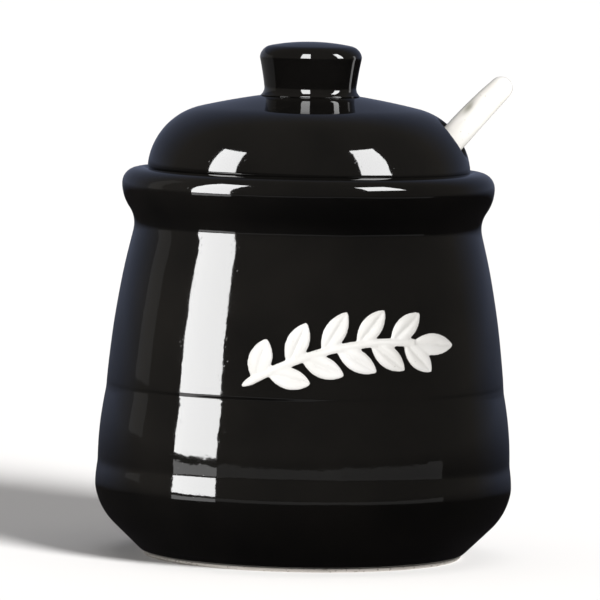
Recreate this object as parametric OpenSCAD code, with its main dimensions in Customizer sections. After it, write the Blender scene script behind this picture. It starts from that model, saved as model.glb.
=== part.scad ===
// Sugar bowl: a bellied jar with a rolled lip, a domed lid with a knob, and a spoon whose
// handle leaves the lid through a hole in its shoulder. Millimetres, +Z up, and the origin
// is the middle of the foot's underside. -Y is the decorated front.

/* [Jar] */
// Widest diameter, at the belt above the foot
belly_d = 100; // [98:0.5:101]
// Height of the belt's widest line
belly_z = 16.5; // [16:0.5:17.5]
// Diameter of the bare clay foot
foot_d = 76.6; // [76:0.2:77.4]
// Height of the bare clay band
foot_h = 0.9; // [0.6:0.1:1.1]
// Height of the soft crease above the belt
belt_z = 22.2; // [22:0.2:22.8]
// Height of the soft crease between the lower band and the wall
band_z = 39.8; // [39:0.2:40.4]
// Narrowest diameter, under the lip
neck_d = 83.2; // [82.6:0.2:84]
// Diameter of the rolled lip
lip_d = 89.5; // [89:0.1:90]
// Height of the lip's widest line
lip_z = 89; // [88.6:0.1:89.4]
// Diameter of the mouth inside the lip
mouth_d = 73; // [72.6:0.1:73.4]
// Wall thickness of the jar
wall_t = 4.2; // [3.8:0.1:4.6]
// Height of the floor inside the jar
floor_z = 7; // [6.4:0.1:7.2]

/* [Lid] */
// Diameter of the lid where it meets the lip
lid_d = 77.3; // [77:0.1:77.5]
// Wall thickness of the lid
lid_t = 3.8; // [3.4:0.1:4]
// Outside diameter of the flange that drops into the mouth
flange_d = 71.8; // [71.4:0.1:72]
// Depth of the flange below the lid's seat
flange_h = 5.5; // [4.5:0.5:6]
// Diameter of the hole for the spoon's handle
hole_d = 9.8; // [9.6:0.1:10.2]

/* [Knob] */
// Largest diameter of the knob, near its top
knob_d = 24.5; // [24:0.1:24.8]
// Diameter of the knob's waist
waist_d = 22; // [21.6:0.1:22.4]
// Height of the knob's top above the table
knob_top = 123.4; // [123:0.1:123.8]

/* [Spoon] */
// How far the spoon stands forward of the jar's right-hand side, in degrees
spoon_turn = 6; // [5:0.5:7]
// Angle of the handle at the hole, above level, in degrees
handle_tilt = 48.8; // [48.4:0.2:49.2]
// Thickness of the handle outside the lid
handle_t = 7.1; // [6.7:0.1:7.2]
// Radius of the handle's slow curve
handle_bend = 260; // [250:5:270]
// Length of the handle from its tip's centre to the bowl
handle_l = 92; // [91:0.5:92.5]
// Length of the spoon's bowl
bowl_l = 32; // [31:0.5:32.5]
// Width of the spoon's bowl
bowl_w = 24; // [23:0.5:25]

/* [Sprig] */
// Height of the raised decoration above the glaze
sprig_h = 0.7; // [0.5:0.1:0.9]
// Length of each leaf
leaf_l = 11; // [10:0.5:11.5]

/* [Hidden] */
$fn = 96;

belly_r = belly_d / 2;
foot_r = foot_d / 2;
neck_r = neck_d / 2;
lip_r = lip_d / 2;
mouth_r = mouth_d / 2;
lid_r = lid_d / 2;
flange_r = flange_d / 2;
knob_r = knob_d / 2;
waist_r = waist_d / 2;

foot_wall = 4.3;                   // width of the foot ring
foot_round = 0.4;                  // small chamfer on the foot's lower edges
foot_recess = 2.4;                 // height of the underside inside the foot ring
chamfer_low = [foot_r + 0.6, foot_h + 0.2];
chamfer_top = [belly_r - 4.4, belly_z - 8.9];
belly_line = [belly_r, belly_z];
belt_line = [belly_r - 0.5, belt_z];
band_line = [belly_r - 2.28, band_z];
wall_top = [neck_r + 0.27, lip_z - 11.4];
flare_line = [neck_r + 0.95, lip_z - 6.25];
lip_line = [lip_r, lip_z];
roll_end = [lip_r - 3.06, lip_z + 3.64];
seat_z = lip_z + 3;                // the lid rests on this ledge
gallery = [lid_r + 0.5, seat_z + 0.95];
neck_inner_z = lip_z - 8;

shoulder_low = [lid_r, seat_z + 1.6];
shoulder_top = [lid_r - 12.65, seat_z + 15.7];
shoulder_rise = 3.05;
knob_z = seat_z + 18.4;            // flat that the knob stands on
knob_base_r = 12.2;
flange_t = 3.3;

hole_at = [lid_r - 3.45, seat_z + 10];   // radius and height of the handle's line at the hole
hole_flare = 1.8;                  // the hole's edge opens by this much
tip_reach = 15.5;                  // the tip's centre stands this far beyond the hole
handle_beads = [0, 4, 9, 20, 34, 48, 62, 76];   // places of the beads that shape the handle
tip_share = 0.8;                   // thickness of the handle at its tip, as a share of handle_t
handle_neck = 0.74;                // thickness of the handle at the bowl, as a share of handle_t
handle_flat = 0.88;                // the handle is this much narrower across than it is thick
bowl_flat = 0.62;                  // depth of the bowl as a share of half its width
bowl_t = 1.9;

sprig_turn = 12.5;                 // the sprig's middle is this many degrees right of the front
stem_r = 62;                       // radius of the sprig's stem
stem_w = 1.9;
stem_mid = [-4.5, 53];             // the stem's middle, across the sprig and up the jar
stem_lean = 14;                    // the stem climbs to the right at this angle
stem_half = 19.5;                  // the stem runs this many degrees to each side of its middle
leaf_pairs = 5;
leaf_spread = 42;                  // each leaf opens this many degrees from the stem
leaf_r = 7.6;                      // radius of each side of a leaf

// Points of an arc from p towards q that stands out by rise on the right of the way.
// A negative rise stands out on the left. q itself is left for the next stretch to give.
function bow(p, q, rise, n = 10) =
    let (
        way = q - p,
        len = norm(way),
        side = sign(rise),
        out = side * [way[1], -way[0]] / len,
        r = len * len / (8 * abs(rise)) + abs(rise) / 2,
        centre = (p + q) / 2 - out * (r - abs(rise)),
        half = asin(len / (2 * r)),
        mid = atan2(out[1], out[0])
    )
    [for (i = [0:n - 1]) let (a = mid + side * half * (2 * i / n - 1)) centre + r * [cos(a), sin(a)]];

function reversed(list) = [for (i = [len(list) - 1:-1:0]) list[i]];

// The wall between the band's crease and the neck, as radius and height
function wall_points() = bow(band_line, wall_top, 0.86, 14);

function jar_outside() = concat(
    [[foot_r, foot_h], chamfer_low],
    bow(chamfer_top, belly_line, 0.85),
    bow(belly_line, belt_line, 0.12, 4),
    bow(belt_line, band_line, 0.43, 6),
    wall_points(),
    bow(wall_top, flare_line, -0.5, 6),
    bow(flare_line, lip_line, 0.55, 6),
    bow(lip_line, roll_end, 0.87, 8),
    [roll_end, gallery, [gallery[0], seat_z], [mouth_r, seat_z]]
);

function jar_inside() = concat(
    [[0, floor_z]],
    bow([belly_r - 14, floor_z], [belly_r - wall_t, belly_z], 2.7),
    bow([belly_r - wall_t, belly_z], [band_line[0] - wall_t, band_z], 0.9, 6),
    bow([band_line[0] - wall_t, band_z], [wall_top[0] - wall_t, wall_top[1] - 1], 0.86, 10),
    bow([wall_top[0] - wall_t, wall_top[1] - 1], [mouth_r, neck_inner_z], -0.2, 4),
    [[mouth_r, neck_inner_z]]
);

module jar_body() {
    underside = [[0, foot_recess], [foot_r - foot_wall - 1, foot_recess], [foot_r - foot_wall, foot_h]];
    color("#16161a")
        rotate_extrude()
            polygon(concat(underside, jar_outside(), reversed(jar_inside())));
}

module jar_foot() {
    inner = foot_r - foot_wall;
    color("#b9ab9a")
        rotate_extrude()
            polygon([
                [inner, foot_h],
                [inner + foot_round, 0],
                [foot_r - foot_round, 0],
                [foot_r, foot_round],
                [foot_r, foot_h]
            ]);
}

// A pointed leaf with round sides, from its stalk at the origin towards +X
module leaf(length) {
    drop = sqrt(leaf_r * leaf_r - length * length / 4);
    intersection() {
        translate([length / 2, drop]) circle(leaf_r);
        translate([length / 2, -drop]) circle(leaf_r);
    }
}

// Moves to a place on the stem, from -1 at its root to 1 at its end, and points along it
module on_stem(place) {
    turn = stem_lean - place * stem_half;
    translate([stem_mid[0], stem_mid[1]])
        rotate(stem_lean)
            translate([0, -stem_r])
                rotate(turn - stem_lean)
                    translate([0, stem_r])
                        children();
}

module stem() {
    translate([stem_mid[0], stem_mid[1]])
        rotate(stem_lean)
            translate([0, -stem_r])
                intersection() {
                    difference() {
                        circle(stem_r + stem_w / 2, $fn = 200);
                        circle(stem_r - stem_w / 2, $fn = 200);
                    }
                    polygon([
                        [0, 0],
                        2 * stem_r * [sin(stem_half), cos(stem_half)],
                        2 * stem_r * [-sin(stem_half), cos(stem_half)]
                    ]);
                }
}

module sprig_outline() {
    stem();
    on_stem(1) leaf(leaf_l);
    for (i = [1:leaf_pairs], side = [-1, 1])
        on_stem(2 * (i - 0.5) / leaf_pairs - 1 - 0.08 * side)
            rotate(side * leaf_spread)
                leaf(leaf_l * (1 - 0.05 * abs(i - 3)));
}

module front_sprig() {
    skin = concat(wall_points(), [wall_top]);
    raised = [for (p = skin) p + [sprig_h, 0]];
    color("#f4f2ee")
        intersection() {
            rotate_extrude()
                polygon(concat(skin, reversed(raised)));
            rotate(sprig_turn)
                rotate([90, 0, 0])
                    linear_extrude(belly_d)
                        sprig_outline();
        }
}

module lid_dome() {
    inner_low = [lid_r - lid_t, seat_z + 1.6];
    inner_top = [shoulder_top[0] - 0.8, shoulder_top[1] - lid_t];
    outside = concat(
        [[lid_r - 0.3, seat_z], [lid_r, seat_z + 0.5]],
        bow(shoulder_low, shoulder_top, shoulder_rise, 14),
        bow(shoulder_top, [knob_base_r, knob_z], 0.13, 4),
        [[knob_base_r, knob_z], [0, knob_z]]
    );
    inside = concat(
        [[flange_r - flange_t, seat_z]],
        bow(inner_low, inner_top, 2.4, 10),
        bow(inner_top, [0, knob_z - lid_t + 0.6], 0.5, 6),
        [[0, knob_z - lid_t + 0.6]]
    );
    color("#16161a")
        difference() {
            rotate_extrude()
                polygon(concat(outside, reversed(inside)));
            at_hole() {
                cylinder(h = 4 * lid_t, d = hole_d, center = true);
                translate([0, 0, -hole_flare])
                    cylinder(h = 2 * hole_flare, d1 = hole_d, d2 = hole_d + 4 * hole_flare);
            }
        }
}

module lid_flange() {
    color("#3a3733")
        rotate_extrude()
            polygon([
                [flange_r - flange_t, seat_z],
                [flange_r - flange_t, seat_z - flange_h],
                [flange_r - 0.8, seat_z - flange_h],
                [flange_r, seat_z - flange_h + 1.2],
                [flange_r, seat_z]
            ]);
}

module lid_knob() {
    waist = [waist_r, knob_z + 2];
    brow = [knob_r, knob_top - 3.7];
    crown = [knob_r - 2.24, knob_top - 1];
    color("#16161a")
        rotate_extrude()
            polygon(concat(
                [[0, knob_z]],
                bow([knob_base_r - 0.1, knob_z], waist, -0.3, 6),
                bow(waist, brow, -0.08, 6),
                bow(brow, crown, 0.53, 6),
                bow(crown, [0, knob_top], 0.28, 6),
                [[0, knob_top]]
            ));
}

// Moves to the middle of the hole, with +Z along the handle's line out of the lid
module at_hole() {
    rotate(-spoon_turn)
        translate([hole_at[0], 0, hole_at[1]])
            rotate([0, 90 - handle_tilt, 0])
                children();
}

// Moves to a place on the handle's curve, measured down from the tip's centre,
// with +Z pointing back up the handle
module on_handle(down) {
    sweep = (down - tip_reach) * 180 / (PI * handle_bend);
    at_hole()
        translate([handle_bend, 0, 0])
            rotate([0, -sweep, 0])
                translate([-handle_bend, 0, 0])
                    children();
}

module handle_bead(down) {
    tip = (1 - tip_share) * pow(max(0, 1 - down / handle_beads[3]), 2);
    thick = handle_t * (1 - tip - (1 - handle_neck) * pow(down / handle_l, 2));
    on_handle(down)
        scale([1, handle_flat, 1])
            sphere(d = thick, $fn = 28);
}

// Egg-shaped solid of the spoon's bowl, shrunk all round by inset
module bowl_egg(inset) {
    wide = bowl_w / 2;
    scale([bowl_flat, 1, 1])
        hull() {
            translate([0, 0, wide - bowl_l])
                sphere(wide - inset, $fn = 48);
            translate([0, 0, -4])
                sphere(4 - inset, $fn = 32);
        }
}

module spoon() {
    beads = concat(handle_beads, handle_l);
    rim = 1.5;                     // the bowl's rim stands this far in front of the handle's middle
    color("#f4f2ee") {
        for (i = [1:len(beads) - 1])
            hull() {
                handle_bead(beads[i - 1]);
                handle_bead(beads[i]);
            }
        on_handle(handle_l)
            translate([-rim, 0, 1])
                difference() {
                    bowl_egg(0);
                    translate([-0.4, 0, 0]) bowl_egg(bowl_t);
                    translate([-bowl_w, -bowl_w, -2 * bowl_l])
                        cube([bowl_w, 2 * bowl_w, 3 * bowl_l]);
                }
    }
}

jar_body();
jar_foot();
front_sprig();
lid_dome();
lid_flange();
lid_knob();
spoon();
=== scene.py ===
import math

import bmesh
import bpy
import numpy as np
from mathutils import Matrix, Vector


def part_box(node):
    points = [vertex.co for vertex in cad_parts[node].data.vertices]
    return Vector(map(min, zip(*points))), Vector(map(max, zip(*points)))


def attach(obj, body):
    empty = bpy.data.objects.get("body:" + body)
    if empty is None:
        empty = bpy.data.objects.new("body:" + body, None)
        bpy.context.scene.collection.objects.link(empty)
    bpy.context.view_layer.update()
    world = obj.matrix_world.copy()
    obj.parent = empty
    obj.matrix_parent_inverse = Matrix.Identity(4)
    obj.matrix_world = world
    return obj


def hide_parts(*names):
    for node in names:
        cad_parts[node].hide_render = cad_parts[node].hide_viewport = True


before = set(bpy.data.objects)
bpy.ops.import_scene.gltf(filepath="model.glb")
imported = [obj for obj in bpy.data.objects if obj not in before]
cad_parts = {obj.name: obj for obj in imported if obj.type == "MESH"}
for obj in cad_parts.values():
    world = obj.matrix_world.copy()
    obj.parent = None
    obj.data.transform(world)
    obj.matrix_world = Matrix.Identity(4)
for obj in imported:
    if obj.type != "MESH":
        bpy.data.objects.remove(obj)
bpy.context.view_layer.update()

MM = 0.001


def top_mm(node):
    """Highest corner of a CAD node, in millimetres."""
    return np.array(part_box(node)[1]) / MM


# ---------------------------------------------------------------- sizes, in millimetres

BELLY_R = top_mm("jar_body")[0]
FOOT_R, _, FOOT_H = top_mm("jar_foot")
LID_R = top_mm("lid_dome")[0]
KNOB_Z = top_mm("lid_dome")[2]
FLANGE_R = top_mm("lid_flange")[0]
SEAT_Z = top_mm("lid_flange")[2]
KNOB_R = top_mm("lid_knob")[0]
KNOB_TOP = top_mm("lid_knob")[2]

LIP_Z = SEAT_Z - 3
LIP_R = 44.75
NECK_R = 41.6
MOUTH_R = 36.5
WALL = 4.2
FLOOR_Z = 7
CREASE_Z = 41.2
GROOVE_TURN = math.radians(-110)   # the groove is deepest here, round from +X
FOOT_WALL = 4.3
FOOT_RECESS = 2.4
LID_WALL = 3.8
FLANGE_WALL = 3.3
FLANGE_LOW = SEAT_Z - 5.5
KNOB_BASE_R = 12.2
WAIST_R = 11

BELLY_Z = 16.5
BELT = (BELLY_R - 0.5, 22.2)       # soft crease above the belt
BAND = (BELLY_R - 2.28, 39.8)      # soft crease under the wall
WALL_TOP = (NECK_R + 0.27, LIP_Z - 11.4)
FLARE = (NECK_R + 0.95, LIP_Z - 6.25)
ROLL_END = (LIP_R - 3.06, LIP_Z + 3.64)

SHOULDER_LOW = (LID_R, SEAT_Z + 1.6)
SHOULDER_TOP = (LID_R - 12.65, SEAT_Z + 15.7)
SHOULDER_RISE = 3.05

SPOON_TURN = math.radians(-6)      # the spoon's plane stands this far forward of +X
HANDLE_TILT = math.radians(48.8)
HOLE_AT = (LID_R - 3.45, SEAT_Z + 10)
HOLE_R = 4.9
DIMPLE_OUT = 6.9                   # the dimple's middle is this far out of the hole
DIMPLE_UP = 2.2                    # and this far up the handle's side
DIMPLE_HALF = (1.8, 0.8)           # its reach along and across the handle
DIMPLE_DEEP = 0.25

SPRIG_TURN = math.radians(12.5)    # the sprig's middle is this far right of the front
SPRIG_MID = np.array([-4.5, 53.0])
SPRIG_LEAN = math.radians(14)
STEM_R = 62
STEM_HALF = math.radians(19.5)
LEAF_PAIRS = 5
LEAF_L = 11
LEAF_W = 4.1
LEAF_SPREAD = math.radians(42)


# ---------------------------------------------------------------- outlines


def bow(p, q, rise, n=24):
    """Points of an arc from p towards q that stands out by rise on the right of the way. q is left out."""
    p, q = np.array(p, float), np.array(q, float)
    way = q - p
    length = np.hypot(*way)
    side = math.copysign(1, rise)
    out = side * np.array([way[1], -way[0]]) / length
    r = length**2 / (8 * abs(rise)) + abs(rise) / 2
    centre = (p + q) / 2 - out * (r - abs(rise))
    half = math.asin(length / (2 * r))
    mid = math.atan2(out[1], out[0])
    turns = [mid + side * half * (2 * i / n - 1) for i in range(n)]
    return [centre + r * np.array([math.cos(a), math.sin(a)]) for a in turns]


def resampled(points, step):
    """The same line with points evenly spaced, about step apart."""
    points = np.array(points, float)
    along = np.r_[0, np.cumsum(np.hypot(*np.diff(points, axis=0).T))]
    keep = np.r_[True, np.diff(along) > 1e-9]
    even = np.linspace(0, along[-1], max(2, round(along[-1] / step)))
    return np.c_[[np.interp(even, along[keep], points[keep, k]) for k in (0, 1)]].T


def softened(points, radius, step):
    """A line whose corners are rounded over about radius, with points step apart."""
    fine = 0.1
    line = resampled(points, fine)
    reach = int(3 * radius / fine)
    weights = np.exp(-0.5 * (np.arange(-reach, reach + 1) * fine / radius) ** 2)
    weights /= weights.sum()
    ends = [2 * line[0] - line[reach:0:-1], line, 2 * line[-1] - line[-2 : -reach - 2 : -1]]
    padded = np.concatenate(ends)
    smooth = np.c_[[np.convolve(padded[:, k], weights, "valid") for k in (0, 1)]].T
    smooth[0], smooth[-1] = line[0], line[-1]
    return resampled(smooth, step)


def thinned(points, step_at):
    """Keeps points of a fine line so that each stretch is about step_at(radius, height) long."""
    kept, run = [points[0]], 0.0
    for before, point in zip(points, points[1:]):
        run += np.hypot(*(point - before))
        if run >= step_at(*point):
            kept.append(point)
            run = 0.0
    kept[-1] = points[-1]
    return np.array(kept)


def wall_line():
    """The jar's wall from the band's crease to the neck."""
    return bow(BAND, WALL_TOP, 0.86, 40)


def jar_line():
    """The jar's whole section: underside, outside, lip, seat, inside and floor."""
    wall_in = BELLY_R - WALL
    inside = (
        [(0, FLOOR_Z)]
        + bow((BELLY_R - 14, FLOOR_Z), (wall_in, BELLY_Z), 2.7)
        + bow((wall_in, BELLY_Z), (BAND[0] - WALL, BAND[1]), 0.9)
        + bow((BAND[0] - WALL, BAND[1]), (WALL_TOP[0] - WALL, WALL_TOP[1] - 1), 0.86)
        + bow((WALL_TOP[0] - WALL, WALL_TOP[1] - 1), (MOUTH_R, LIP_Z - 8), -0.2)
        + [(MOUTH_R, LIP_Z - 8)]
    )
    return (
        [(0, FOOT_RECESS), (FOOT_R - FOOT_WALL - 1, FOOT_RECESS), (FOOT_R - FOOT_WALL, FOOT_H)]
        + [(FOOT_R, FOOT_H), (FOOT_R + 0.6, FOOT_H + 0.2)]
        + bow((BELLY_R - 4.4, BELLY_Z - 8.9), (BELLY_R, BELLY_Z), 0.85)
        + bow((BELLY_R, BELLY_Z), BELT, 0.12)
        + bow(BELT, BAND, 0.43)
        + wall_line()
        + bow(WALL_TOP, FLARE, -0.5)
        + bow(FLARE, (LIP_R, LIP_Z), 0.55)
        + bow((LIP_R, LIP_Z), ROLL_END, 0.87)
        + [ROLL_END, (LID_R + 0.5, SEAT_Z + 0.95), (LID_R + 0.5, SEAT_Z), (MOUTH_R, SEAT_Z)]
        + inside[::-1]
    )


# ---------------------------------------------------------------- meshes


def new_object(name, verts, faces):
    """A smooth object from points in millimetres, with its faces turned outwards."""
    mesh = bpy.data.meshes.new(name)
    mesh.from_pydata([tuple(v) for v in np.asarray(verts) * MM], [], faces)
    work = bmesh.new()
    work.from_mesh(mesh)
    bmesh.ops.recalc_face_normals(work, faces=work.faces)
    work.to_mesh(mesh)
    work.free()
    mesh.polygons.foreach_set("use_smooth", [True] * len(mesh.polygons))
    obj = bpy.data.objects.new(name, mesh)
    bpy.context.scene.collection.objects.link(obj)
    return obj


def ring_object(name, rings, closed):
    """Joins rings of points side by side. closed joins the last ring to the first;
    otherwise each end is filled by one middle point."""
    rings = np.asarray(rings)
    count, around = rings.shape[:2]
    verts = rings.reshape(-1, 3)
    faces = []
    for i in range(count if closed else count - 1):
        low, high = i * around, (i + 1) % count * around
        for j in range(around):
            k = (j + 1) % around
            faces.append((low + j, low + k, high + k, high + j))
    if not closed:
        verts = np.vstack([verts, rings[0].mean(axis=0), rings[-1].mean(axis=0)])
        first, last = count * around, count * around + 1
        for j in range(around):
            k = (j + 1) % around
            faces.append((first, k, j))
            faces.append((last, (count - 1) * around + j, (count - 1) * around + k))
    return new_object(name, verts, faces)


def lathe(name, line, around=224, wobble=None):
    """Turns an outline of radius and height about Z. One that ends on the axis closes there,
    and any other is taken as a closed ring."""
    line = np.array(line)
    on_axis = line[0, 0] < 1e-6
    if on_axis:
        line = line[1:-1]
    turn = np.arange(around) * 2 * math.pi / around
    r = np.repeat(line[:, :1], around, axis=1)
    z = np.repeat(line[:, 1:], around, axis=1)
    if wobble:
        r = r + wobble(turn[None, :], r, z)
    rings = np.stack([r * np.cos(turn), r * np.sin(turn), z], axis=2)
    return ring_object(name, rings, not on_axis)


def remeshed(obj, voxel, smoothing):
    """Makes one skin over everything in obj, with softened joins."""
    remesh = obj.modifiers.new("skin", "REMESH")
    remesh.mode = "VOXEL"
    remesh.voxel_size = voxel * MM
    smooth = obj.modifiers.new("soften", "SMOOTH")
    smooth.factor = 0.5
    smooth.iterations = smoothing
    graph = bpy.context.evaluated_depsgraph_get()
    mesh = bpy.data.meshes.new_from_object(obj.evaluated_get(graph))
    obj.modifiers.clear()
    obj.data = mesh
    mesh.polygons.foreach_set("use_smooth", [True] * len(mesh.polygons))
    return obj


def glaze_wander(turn, r, z):
    """The slight unevenness of a turned and glazed wall, which moves the edges of reflections,
    and the uneven groove that the turning left at the band's crease."""
    outside = np.clip((r - 40.5) / 2, 0, 1) * np.clip((z - 4) / 8, 0, 1)
    slow = 0.05 * np.sin(2 * turn + 0.9 + z / 31) + 0.03 * np.sin(3 * turn - 1.2 + z / 17)
    rings = 0.010 * np.sin(z / 2.1 + 0.7 * np.sin(turn)) + 0.02 * np.sin(z / 5.3 + 1.3)
    groove_z = CREASE_Z + 0.35 * np.sin(turn + 0.5)
    deep = 0.02 + 0.1 * np.exp(14 * (np.cos(turn - GROOVE_TURN) - 1))
    groove = deep * np.exp(-(((z - groove_z) / 0.55) ** 2))
    return outside * (slow + rings) - np.where(r > 46, groove, 0)


# ---------------------------------------------------------------- materials


class Nodes:
    """A short way to write a material's node tree."""

    def __init__(self, name):
        self.material = bpy.data.materials.new(name)
        self.material.use_nodes = True
        self.tree = self.material.node_tree
        self.shader = self.tree.nodes["Principled BSDF"]
        self.place = self.add("ShaderNodeTexCoord").outputs["Object"]

    def add(self, kind, **values):
        node = self.tree.nodes.new(kind)
        for name, value in values.items():
            if hasattr(node, name):
                setattr(node, name, value)
            else:
                node.inputs[name].default_value = value
        return node

    def link(self, out, into):
        self.tree.links.new(out, into)

    def noise(self, scale, detail=3.0, rough=0.5):
        node = self.add("ShaderNodeTexNoise")
        node.inputs["Scale"].default_value = scale
        node.inputs["Detail"].default_value = detail
        node.inputs["Roughness"].default_value = rough
        self.link(self.place, node.inputs["Vector"])
        return node.outputs["Fac"]

    def ramp(self, fac, stops):
        node = self.add("ShaderNodeValToRGB")
        ramp = node.color_ramp
        while len(ramp.elements) < len(stops):
            ramp.elements.new(0.5)
        for element, (at, colour) in zip(ramp.elements, stops):
            element.position = at
            element.color = (*colour, 1)
        self.link(fac, node.inputs["Fac"])
        return node.outputs["Color"]

    def span(self, fac, low, high, from_low=0.0, from_high=1.0):
        node = self.add("ShaderNodeMapRange")
        node.inputs["From Min"].default_value = from_low
        node.inputs["From Max"].default_value = from_high
        node.inputs["To Min"].default_value = low
        node.inputs["To Max"].default_value = high
        self.link(fac, node.inputs["Value"])
        return node.outputs["Result"]

    def mixed(self, fac, a, b):
        node = self.add("ShaderNodeMix", data_type="RGBA")
        self.link(fac, node.inputs["Factor"])
        self.link(a, node.inputs["A"])
        self.link(b, node.inputs["B"])
        return node.outputs["Result"]

    def bump(self, height, strength, distance, after=None):
        node = self.add("ShaderNodeBump")
        node.inputs["Strength"].default_value = strength
        node.inputs["Distance"].default_value = distance
        self.link(height, node.inputs["Height"])
        if after:
            self.link(after, node.inputs["Normal"])
        return node.outputs["Normal"]


def black_glaze():
    """Deep gloss black: faint cloudiness, a slight orange peel and a few pinholes."""
    n = Nodes("black_glaze")
    cloud = n.ramp(n.noise(60, 4), [(0.35, (0.0018, 0.0017, 0.0016)), (0.7, (0.0032, 0.0029, 0.0026))])
    n.link(cloud, n.shader.inputs["Base Color"])
    n.link(n.span(n.noise(140, 3), 0.025, 0.06, 0.3, 0.75), n.shader.inputs["Roughness"])
    peel = n.bump(n.noise(330, 2), 0.05, 0.0003)
    pits = n.span(n.noise(1500, 1), 0, 1, 0.22, 0.27)
    n.link(n.bump(pits, 0.06, 0.0001, peel), n.shader.inputs["Normal"])
    n.shader.inputs["IOR"].default_value = 1.5
    return n.material


def white_glaze(name, warm, cool):
    """Bright gloss white over a pale body, with fine specks, and painted shade: greyer where the mesh marks
    the handle's dimple.
    """
    n = Nodes(name)
    base = n.ramp(n.noise(90, 4), [(0.3, warm), (0.7, cool)])
    specks = n.ramp(n.noise(1700, 1), [(0.2, (0.5, 0.47, 0.42)), (0.26, (1, 1, 1))])
    mix = n.add("ShaderNodeMix", data_type="RGBA", blend_type="MULTIPLY")
    mix.inputs["Factor"].default_value = 0.5
    n.link(base, mix.inputs["A"])
    n.link(specks, mix.inputs["B"])
    # painted shade: the dimple's mask mixes in a grey that stands in for its shade and dark reflection
    shade_mix = n.add("ShaderNodeMix", data_type="RGBA")
    shade_mix.inputs["B"].default_value = (0.4, 0.39, 0.33, 1)
    n.link(n.add("ShaderNodeAttribute", attribute_name="painted_dimple_shade").outputs["Fac"], shade_mix.inputs["Factor"])
    n.link(mix.outputs["Result"], shade_mix.inputs["A"])
    n.link(shade_mix.outputs["Result"], n.shader.inputs["Base Color"])
    n.link(n.span(n.noise(160, 3), 0.06, 0.13, 0.3, 0.75), n.shader.inputs["Roughness"])
    n.link(n.bump(n.noise(380, 2), 0.06, 0.0003), n.shader.inputs["Normal"])
    return n.material


def bare_clay():
    """Unglazed fired clay: warm, matt, with grog and rubbed darker in places."""
    n = Nodes("bare_clay")
    cloud = n.ramp(n.noise(70, 5), [(0.3, (0.56, 0.53, 0.49)), (0.75, (0.72, 0.69, 0.65))])
    grog = n.ramp(n.noise(1100, 2), [(0.33, (0.3, 0.26, 0.22)), (0.42, (1, 1, 1))])
    mix = n.add("ShaderNodeMix", data_type="RGBA", blend_type="MULTIPLY")
    mix.inputs["Factor"].default_value = 0.55
    n.link(cloud, mix.inputs["A"])
    n.link(grog, mix.inputs["B"])
    n.link(mix.outputs["Result"], n.shader.inputs["Base Color"])
    n.link(n.span(n.noise(400, 4), 0.7, 0.95, 0.3, 0.7), n.shader.inputs["Roughness"])
    n.link(n.bump(n.noise(1400, 5), 0.5, 0.0002), n.shader.inputs["Normal"])
    n.shader.inputs["Specular IOR Level"].default_value = 0.25
    return n.material


BLACK = black_glaze()
WHITE = white_glaze("white_glaze", (0.80, 0.775, 0.72), (0.86, 0.85, 0.82))
SLIP = white_glaze("white_slip", (0.80, 0.79, 0.76), (0.88, 0.875, 0.86))
CLAY = bare_clay()


def finished(obj, material, body, node):
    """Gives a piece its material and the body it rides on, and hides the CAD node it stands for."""
    obj.data.materials.clear()
    obj.data.materials.append(material)
    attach(obj, body)
    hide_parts(node)
    return obj


# ---------------------------------------------------------------- jar


def make_jar():
    """The glazed jar, with finer rings near the crease so that the groove is smooth."""
    line = softened(jar_line(), 0.45, 0.1)
    line = thinned(line, lambda r, z: 0.25 if r > 46 and abs(z - CREASE_Z) < 2.5 else 0.62)
    return lathe("jar_glazed_body", line, 240, glaze_wander)


def make_foot():
    """The bare clay ring that the jar stands on."""
    low = FOOT_R - FOOT_WALL
    line = [(low, FOOT_H), (low + 0.4, 0), (FOOT_R - 0.4, 0), (FOOT_R, 0.4), (FOOT_R, FOOT_H), (low, FOOT_H)]
    return lathe("jar_bare_foot", softened(line, 0.08, 0.2)[:-1], 240)


def on_wall(x, z, lift):
    """A point of the sprig, across and up, lifted off the jar's wall."""
    line = np.array(wall_line() + [np.array(WALL_TOP)])
    r = np.interp(z, line[:, 1], line[:, 0]) + lift
    y = -np.sqrt(r**2 - x**2)
    c, s = math.cos(SPRIG_TURN), math.sin(SPRIG_TURN)
    return np.stack([x * c - y * s, x * s + y * c, z], axis=-1)


def slip_stroke(path, wide, high):
    """A raised stroke of slip along a path on the wall. wide and high are its half width and
    height at each point of the path."""
    way = np.gradient(path, axis=0)
    way /= np.hypot(*way.T)[:, None]
    side = np.stack([-way[:, 1], way[:, 0]], axis=1)
    turn = np.arange(16) * 2 * math.pi / 16
    across = path[:, None, :] + side[:, None, :] * (wide[:, None] * np.cos(turn))[..., None]
    lift = np.where(np.sin(turn) > 0, high[:, None] * np.sin(turn), 0.35 * np.sin(turn))
    return on_wall(across[..., 0], across[..., 1], lift)


def stem_point(place):
    """A point on the stem and the direction it runs in, from -1 at its root to 1 at its end."""
    turn = SPRIG_LEAN - place * STEM_HALF
    centre = SPRIG_MID - STEM_R * np.array([-math.sin(SPRIG_LEAN), math.cos(SPRIG_LEAN)])
    return centre + STEM_R * np.array([-math.sin(turn), math.cos(turn)]), turn


def leaf_halves(root, heading, length, full):
    """A leaf as two curved strokes that leave a vein between them."""
    t = np.linspace(0, 1, 26)
    wide = np.maximum(full * 0.5 * np.sin(math.pi * t) ** 0.8, 0.05)
    way = np.array([math.cos(heading), math.sin(heading)])
    side = np.array([-way[1], way[0]])
    for half in (-1, 1):
        off = half * 0.62 * wide
        path = root + np.outer(t * length, way) + np.outer(off, side)
        yield slip_stroke(path, wide * 0.62 + 0.08, 0.12 + 0.62 * np.sin(math.pi * t) ** 0.6)


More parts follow.
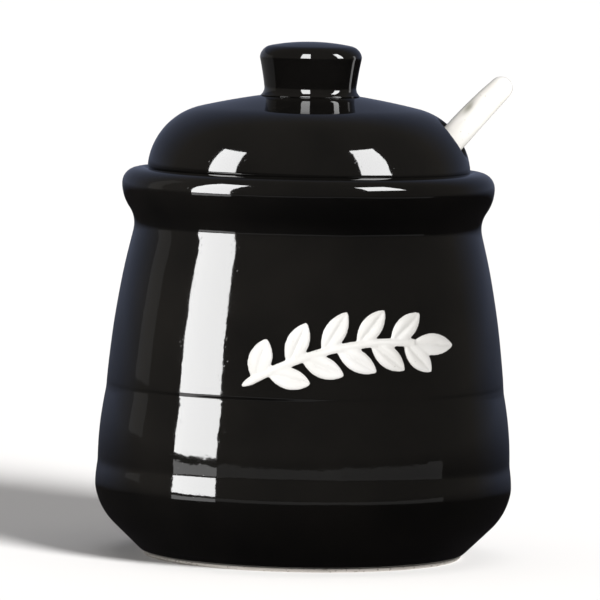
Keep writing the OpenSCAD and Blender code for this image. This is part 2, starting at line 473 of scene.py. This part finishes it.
def make_sprig():
    """A stem with pairs of leaves and one at its end, under one skin."""
    strokes = []
    places = np.linspace(-1.03, 1.0, 60)
    stem = np.array([stem_point(p)[0] for p in places])
    taper = np.clip((places + 1.03) * 9, 0, 1) ** 0.5
    strokes.append(slip_stroke(stem, 0.95 * taper + 0.05, 0.66 * taper + 0.05))
    for i in range(LEAF_PAIRS):
        for side in (-1, 1):
            root, heading = stem_point(2 * (i + 0.5) / LEAF_PAIRS - 1 - 0.08 * side)
            length = LEAF_L * (1 - 0.05 * abs(i - 2))
            strokes += leaf_halves(root, heading + side * LEAF_SPREAD, length, LEAF_W)
    root, heading = stem_point(0.98)
    strokes += leaf_halves(root, heading, LEAF_L, LEAF_W)
    verts, faces = [], []
    for rings in strokes:
        piece = ring_object("stroke", rings, False)
        start = len(verts)
        verts += [np.array(v.co) / MM for v in piece.data.vertices]
        faces += [tuple(start + k for k in p.vertices) for p in piece.data.polygons]
        bpy.data.objects.remove(piece)
    return remeshed(new_object("raised_sprig", verts, faces), 0.24, 3)


finished(make_jar(), BLACK, "jar", "jar_body")
finished(make_foot(), CLAY, "jar", "jar_foot")
finished(make_sprig(), SLIP, "jar", "front_sprig")


# ---------------------------------------------------------------- lid


def hole_axes():
    """The hole's middle, its line out of the lid, and two directions across it."""
    c, s = math.cos(SPOON_TURN), math.sin(SPOON_TURN)
    middle = np.array([HOLE_AT[0] * c, HOLE_AT[0] * s, HOLE_AT[1]])
    tilt_c, tilt_s = math.cos(HANDLE_TILT), math.sin(HANDLE_TILT)
    out = np.array([tilt_c * c, tilt_c * s, tilt_s])
    level = np.array([-s, c, 0.0])
    return middle, out, level, np.cross(out, level)


def dome_lines():
    """The dome's outer and inner lines, from the middle down to the seat."""
    outer = (
        [(LID_R - 0.3, SEAT_Z + 0.2), (LID_R, SEAT_Z + 0.6)]
        + bow(SHOULDER_LOW, SHOULDER_TOP, SHOULDER_RISE, 60)
        + bow(SHOULDER_TOP, (KNOB_BASE_R, KNOB_Z), 0.13, 30)
        + [(KNOB_BASE_R, KNOB_Z), (0, KNOB_Z)]
    )
    inner_top = (SHOULDER_TOP[0] - 0.8, SHOULDER_TOP[1] - LID_WALL)
    roof = (0, KNOB_Z - LID_WALL + 0.6)
    inner = (
        [(FLANGE_R - FLANGE_WALL, SEAT_Z + 0.1)]
        + bow((LID_R - LID_WALL, SEAT_Z + 1.6), inner_top, 2.4, 60)
        + bow(inner_top, roof, 0.5, 30)
        + [roof]
    )
    return softened(outer, 0.25, 0.1)[::-1], softened(inner, 0.25, 0.1)[::-1]


def surface_along(line, start, out):
    """How far along out each start point meets the turned surface of line, by halving."""
    falling = line[::-1]
    low = np.full(start.shape[:-1], -11.0)
    high = np.full(start.shape[:-1], 11.0)
    for _ in range(44):
        mid = (low + high) / 2
        p = start + mid[..., None] * out
        radius = np.interp(p[..., 2], falling[:, 1], falling[:, 0])
        beyond = np.hypot(p[..., 0], p[..., 1]) > radius
        beyond |= p[..., 2] > falling[-1, 1]
        high = np.where(beyond, mid, high)
        low = np.where(beyond, low, mid)
    return (low + high) / 2


def flat_map(line, points):
    """Points of a turned surface laid flat about its middle, by distance along its line."""
    along = np.r_[0, np.cumsum(np.hypot(*np.diff(line, axis=0).T))]
    far = np.interp(-points[..., 2], -line[:, 1], along)
    turn = np.arctan2(points[..., 1], points[..., 0])
    return far[..., None] * np.stack([np.cos(turn), np.sin(turn)], axis=-1)


def back_up(line, flat):
    """The other way: flat points back onto the turned surface."""
    along = np.r_[0, np.cumsum(np.hypot(*np.diff(line, axis=0).T))]
    far = np.hypot(flat[..., 0], flat[..., 1])
    turn = np.arctan2(flat[..., 1], flat[..., 0])
    r = np.interp(far, along, line[:, 0])
    return np.stack([r * np.cos(turn), r * np.sin(turn), np.interp(far, along, line[:, 1])], axis=-1)


def make_dome(rays=288):
    """The dome as one net of rings: from the rim up to the hole, through it with rounded edges,
    and back along the inside, so that the surface is true right up to the hole."""
    middle, out, level, steep = hole_axes()
    outer, inner = dome_lines()
    psi = np.arange(rays) * 2 * math.pi / rays
    spoke = np.cos(psi)[:, None] * level + np.sin(psi)[:, None] * steep

    def loop(line, radius, sink):
        start = middle + radius * spoke
        return start + (surface_along(line, start, out) - sink)[:, None] * out

    edge_out, edge_in, ring_r = 1.7, 0.8, 8.8
    rim_far = np.hypot(*np.diff(outer, axis=0).T).sum()
    first = loop(outer, ring_r, 0)
    flat_first = flat_map(outer, first)
    flat_middle = flat_map(outer, middle[None])[0]
    ray = flat_first - flat_middle
    ray /= np.hypot(*ray.T)[:, None]
    b = (ray * flat_middle).sum(axis=1)
    reach = -b + np.sqrt(b**2 - (flat_middle @ flat_middle - rim_far**2))
    rim_turn = np.arctan2(*(flat_middle + reach[:, None] * ray).T[::-1])
    rim = np.stack([np.cos(rim_turn), np.sin(rim_turn)], axis=1)

    def spread(line, near, count):
        length = np.hypot(*np.diff(line, axis=0).T).sum()
        flat_near = flat_map(line, near)
        shares = np.linspace(0, 1, count) ** 1.25
        return [back_up(line, flat_near * (1 - k) + rim * length * k) for k in shares]

    rings = spread(outer, first, 64)[::-1]
    for radius in np.linspace(ring_r, HOLE_R + edge_out, 6)[1:]:
        rings.append(loop(outer, radius, 0))
    for beta in np.linspace(0, math.pi / 2, 9)[1:]:
        radius = HOLE_R + edge_out * (1 - math.sin(beta))
        rings.append(loop(outer, radius, edge_out * (1 - math.cos(beta))))
    last = rings[-1]
    inner_ring = []
    for beta in np.linspace(math.pi / 2, 0, 6):
        radius = HOLE_R + edge_in * (1 - math.sin(beta))
        inner_ring.append(loop(inner, radius, -edge_in * (1 - math.cos(beta))))
    rings += [last * (1 - k) + inner_ring[0] * k for k in (0.25, 0.5, 0.75)]
    rings += inner_ring
    ends = loop(inner, HOLE_R + 2.6, 0)
    rings += spread(inner, ends, 44)
    return ring_object("lid_glazed_dome", rings, True)


def make_knob():
    """The knob: a flared foot, a waist and a domed top."""
    waist = (WAIST_R, KNOB_Z + 2)
    brow = (KNOB_R, KNOB_TOP - 3.7)
    crown = (KNOB_R - 2.24, KNOB_TOP - 1)
    line = (
        [(0, KNOB_Z)]
        + bow((KNOB_BASE_R - 0.1, KNOB_Z), waist, -0.3)
        + bow(waist, brow, -0.08)
        + bow(brow, crown, 0.53)
        + bow(crown, (0, KNOB_TOP), 0.28)
        + [(0, KNOB_TOP)]
    )
    return lathe("lid_glazed_knob", softened(line, 0.25, 0.35), 160)


def make_flange():
    """The bare ring that drops into the mouth."""
    inner = FLANGE_R - FLANGE_WALL
    line = [
        (inner, SEAT_Z),
        (inner, FLANGE_LOW),
        (FLANGE_R - 0.8, FLANGE_LOW),
        (FLANGE_R, FLANGE_LOW + 1.2),
        (FLANGE_R, SEAT_Z),
        (inner, SEAT_Z),
    ]
    return lathe("lid_bare_flange", softened(line, 0.2, 0.4)[:-1], 200)


finished(make_dome(), BLACK, "lid", "lid_dome")
finished(make_knob(), BLACK, "lid", "lid_knob")
finished(make_flange(), CLAY, "lid", "lid_flange")


# ---------------------------------------------------------------- spoon


def make_spoon():
    """The CAD spoon under one soft glazed skin, with a small dimple in the handle whose grey tint is painted
    shade.
    """
    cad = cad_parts["spoon"]
    obj = bpy.data.objects.new("glazed_spoon", cad.data.copy())
    bpy.context.scene.collection.objects.link(obj)
    obj = remeshed(obj, 0.42, 8)
    middle, out, level, steep = hole_axes()
    dimple = middle + DIMPLE_OUT * out
    points = np.empty(len(obj.data.vertices) * 3)
    obj.data.vertices.foreach_get("co", points)
    points = points.reshape(-1, 3) / MM
    rel = points - dimple
    outward = -0.78 * level + 0.62 * steep
    along, up = rel @ out, rel @ steep
    long, wide = DIMPLE_HALF
    dent = np.exp(-((along / long) ** 2) - ((up - DIMPLE_UP) / wide) ** 2) * (rel @ outward > 0)
    points -= (DIMPLE_DEEP * dent)[:, None] * outward
    # the dent's mask also marks where the dimple gets its painted shade
    dimple_shade = obj.data.attributes.new("painted_dimple_shade", "FLOAT", "POINT")
    dimple_shade.data.foreach_set("value", dent)
    obj.data.vertices.foreach_set("co", (points * MM).ravel())
    return obj


SPOON = finished(make_spoon(), WHITE, "spoon", "spoon")
SPOON.visible_glossy = False       # keeps its mirror image off the dome, and so off the lip too


# ---------------------------------------------------------------- studio


def make_floor():
    """A pale floor that takes shadows, and shows neither in the glaze nor to the lamps under it."""
    mesh = bpy.data.meshes.new("floor")
    wide = 12                      # half its width, in metres
    corners = [(-wide, -wide, 0), (wide, -wide, 0), (wide, wide, 0), (-wide, wide, 0)]
    mesh.from_pydata(corners, [], [(0, 1, 2, 3)])
    floor = bpy.data.objects.new("floor", mesh)
    bpy.context.scene.collection.objects.link(floor)
    material = bpy.data.materials.new("pale_floor")
    material.use_nodes = True
    shader = material.node_tree.nodes["Principled BSDF"]
    shader.inputs["Base Color"].default_value = (0.8, 0.79, 0.78, 1)
    shader.inputs["Roughness"].default_value = 0.9
    shader.inputs["Specular IOR Level"].default_value = 0
    mesh.materials.append(material)
    floor.visible_glossy = False
    floor.visible_shadow = False
    return floor


def make_world():
    """White behind the object; in reflections, a warm dark studio in front and a cool one behind."""
    world = bpy.data.worlds.new("studio")
    bpy.context.scene.world = world
    world.use_nodes = True
    tree = world.node_tree
    tree.nodes.clear()
    add = tree.nodes.new
    way = add("ShaderNodeTexCoord")
    parts = add("ShaderNodeSeparateXYZ")
    tree.links.new(way.outputs["Generated"], parts.inputs["Vector"])
    behind = add("ShaderNodeMapRange")
    behind.inputs["From Min"].default_value = 0.34
    behind.inputs["From Max"].default_value = 0.75
    tree.links.new(parts.outputs["Y"], behind.inputs["Value"])
    rooms = add("ShaderNodeMix")
    rooms.data_type = "RGBA"
    rooms.inputs["A"].default_value = (0.14, 0.13, 0.117, 1)
    rooms.inputs["B"].default_value = (0.13, 0.15, 0.215, 1)
    tree.links.new(behind.outputs["Result"], rooms.inputs["Factor"])
    above = add("ShaderNodeMapRange")
    above.inputs["From Min"].default_value = -0.12
    above.inputs["From Max"].default_value = 0.02
    tree.links.new(parts.outputs["Z"], above.inputs["Value"])
    ground = add("ShaderNodeMix")
    ground.data_type = "RGBA"
    ground.inputs["A"].default_value = (0.012, 0.011, 0.012, 1)
    tree.links.new(rooms.outputs["Result"], ground.inputs["B"])
    tree.links.new(above.outputs["Result"], ground.inputs["Factor"])
    dim = add("ShaderNodeBackground")
    tree.links.new(ground.outputs["Result"], dim.inputs["Color"])
    white = add("ShaderNodeBackground")
    white.inputs["Color"].default_value = (1, 1, 1, 1)
    white.inputs["Strength"].default_value = 1.05
    path = add("ShaderNodeLightPath")
    both = add("ShaderNodeMixShader")
    tree.links.new(path.outputs["Is Camera Ray"], both.inputs["Fac"])
    tree.links.new(dim.outputs["Background"], both.inputs[1])
    tree.links.new(white.outputs["Background"], both.inputs[2])
    end = add("ShaderNodeOutputWorld")
    tree.links.new(both.outputs["Shader"], end.inputs["Surface"])


def group(name, objects):
    """A collection that says which objects a lamp lights."""
    made = bpy.data.collections.new(name)
    for obj in objects:
        made.objects.link(obj)
    return made


AIM_Z = 0.075                      # the softboxes' elevations are taken from here, in metres


def panel(name, turn, half_width, low, high, glow, lit, away=1.2):
    """An upright softbox. turn is its azimuth from the front, and low and high its edges'
    elevations, all in degrees seen from the jar. glow is its radiance."""
    data = bpy.data.lights.new(name, "AREA")
    data.shape = "RECTANGLE"
    data.size = 2 * away * math.tan(math.radians(half_width))
    bottom = AIM_Z + away * math.tan(math.radians(low))
    top = AIM_Z + away * math.tan(math.radians(high))
    data.size_y = top - bottom
    data.energy = glow * math.pi * data.size * data.size_y
    lamp = bpy.data.objects.new(name, data)
    a = math.radians(turn)
    out = Vector((math.sin(a), -math.cos(a), 0))
    lamp.location = out * away + Vector((0, 0, (bottom + top) / 2))
    lamp.rotation_mode = "QUATERNION"
    lamp.rotation_quaternion = (-out).to_track_quat("-Z", "Y")
    bpy.context.scene.collection.objects.link(lamp)
    lamp.light_linking.receiver_collection = lit
    return lamp


def sun(name, turn, height, strength, spread, lit, shadow=True):
    """A distant lamp, turn degrees round from the front and height degrees up."""
    data = bpy.data.lights.new(name, "SUN")
    data.energy = strength
    data.angle = math.radians(spread)
    data.use_shadow = shadow
    lamp = bpy.data.objects.new(name, data)
    a, e = math.radians(turn), math.radians(height)
    out = Vector((math.sin(a) * math.cos(e), -math.cos(a) * math.cos(e), math.sin(e)))
    lamp.rotation_mode = "QUATERNION"
    lamp.rotation_quaternion = (-out).to_track_quat("-Z", "Y")
    bpy.context.scene.collection.objects.link(lamp)
    lamp.light_linking.receiver_collection = lit
    return lamp


CAMERA_AT = (0, -1.5, 0.168)       # metres
CAMERA_AIM = (-0.00156, 0, 0.0614)
CAMERA_LENS = 375.8                # millimetres, on a 36 mm sensor
CAMERA_ROLL = math.radians(1.05)


def make_camera():
    """A long lens that looks slightly down on the jar from the front."""
    data = bpy.data.cameras.new("camera")
    data.sensor_width = 36
    data.lens = CAMERA_LENS
    data.clip_start, data.clip_end = 0.1, 50
    cam = bpy.data.objects.new("camera", data)
    cam.location = CAMERA_AT
    look = (Vector(CAMERA_AIM) - cam.location).to_track_quat("-Z", "Y")
    roll = Matrix.Rotation(CAMERA_ROLL, 4, "Z").to_quaternion()
    cam.rotation_mode = "QUATERNION"
    cam.rotation_quaternion = look @ roll
    bpy.context.scene.collection.objects.link(cam)
    bpy.context.scene.camera = cam


FLOOR = make_floor()
make_world()
make_camera()
bpy.context.scene.view_settings.view_transform = "Standard"
bpy.context.scene.view_settings.look = "None"

shown = {o.name: o for o in bpy.data.objects if o.type == "MESH" and o is not FLOOR}
JAR = group("lit_jar", [shown["jar_glazed_body"]])
DOME = group("lit_dome", [shown["lid_glazed_dome"]])
KNOB = group("lit_knob", [shown["lid_glazed_knob"]])
PALE = group("lit_pale", [shown["raised_sprig"], shown["lid_bare_flange"]])
FOOT = group("lit_foot", [shown["jar_bare_foot"]])
LIT_SPOON = group("lit_spoon", [SPOON])
FLOOR_ONLY = group("lit_floor", [FLOOR])

# Each lamp lights one group. Its numbers are turn, half width, low edge, high edge and glow.
BRIGHT = 19.4
panel("jar_left_softbox", -62, 13.6, -2.8, 52, BRIGHT, JAR)
panel("jar_left_table_glow", -62, 13.8, -10, -4.6, 2.4, JAR)
panel("jar_front_table_glow", -14, 34, -8.5, -4.2, 0.28, JAR)
panel("jar_right_table_glow", 51, 31, -8, -4, 0.25, JAR)
panel("jar_far_left_card", -108, 7, -1, 40, 0.14, JAR)
panel("jar_right_softbox", 53, 14, 31, 56, BRIGHT, JAR)
panel("dome_left_softbox", -64, 11, -6, 39, BRIGHT, DOME)
panel("dome_right_softbox", 48.5, 11.5, 2, 48, BRIGHT, DOME)
panel("knob_left_softbox", -12, 11, 4, 52, BRIGHT, KNOB)
panel("knob_right_softbox", 71, 7.5, 8, 46, BRIGHT, KNOB)
panel("knob_left_card", -132, 34, -20, 20, 0.15, KNOB)
panel("knob_rim_strip", 118, 4, -16, 18, 1.5, KNOB)
panel("pale_key", -42, 16, 15, 60, 7.0, PALE)
panel("pale_fill", 30, 25, 0, 40, 1.6, PALE)
panel("foot_key", -35, 20, 10, 40, 2.4, FOOT)
panel("spoon_key", 32, 24, 0, 60, 5.8, LIT_SPOON)
panel("spoon_top", 150, 16, 30, 70, 0.5, LIT_SPOON)
panel("spoon_fill", -65, 20, 0, 40, 1.1, LIT_SPOON)
sun("floor_key", 36, 25, 6.7, 18, FLOOR_ONLY)
sun("floor_fill", 0, 90, 0.8, 60, FLOOR_ONLY, shadow=False)
